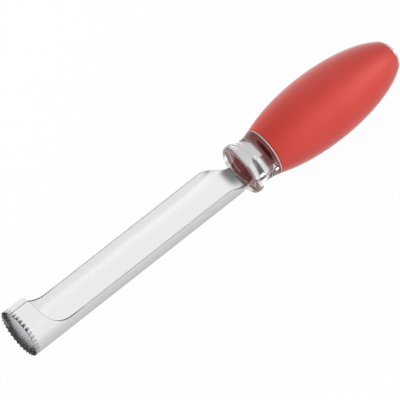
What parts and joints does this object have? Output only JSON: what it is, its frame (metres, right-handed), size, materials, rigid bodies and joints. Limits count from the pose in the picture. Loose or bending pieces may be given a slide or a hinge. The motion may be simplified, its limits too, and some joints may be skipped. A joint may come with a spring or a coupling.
{
  "type": "apple corer",
  "caption": "Hand corer with a toothed rolled-steel ring, an open trough blade, a clear bolster and a smooth egg-shaped red grip.",
  "frame": {"origin": "centre of the bounding box, on the handle's axis", "axes": "+X from the teeth to the butt of the handle, +Z towards the open side of the trough"},
  "size_m": [0.2006, 0.031, 0.031],
  "materials": {
    "blade_steel": "satin stainless sheet",
    "clear_acrylic": "clear, polished",
    "core_plastic": "moulded, plain",
    "soft_touch_red": "soft-touch, satin-matt",
    "pin_steel": "drawn bar, plain",
    "cap_metal": "polished"
  },
  "bodies": {
    "root": {"corer_blade": "blade_steel", "collar": "clear_acrylic", "handle_core": "core_plastic", "grip_sleeve": "soft_touch_red", "tang_pin_front": "pin_steel", "tang_pin_rear": "pin_steel", "end_cap": "cap_metal"}
  },
  "joints": []
}
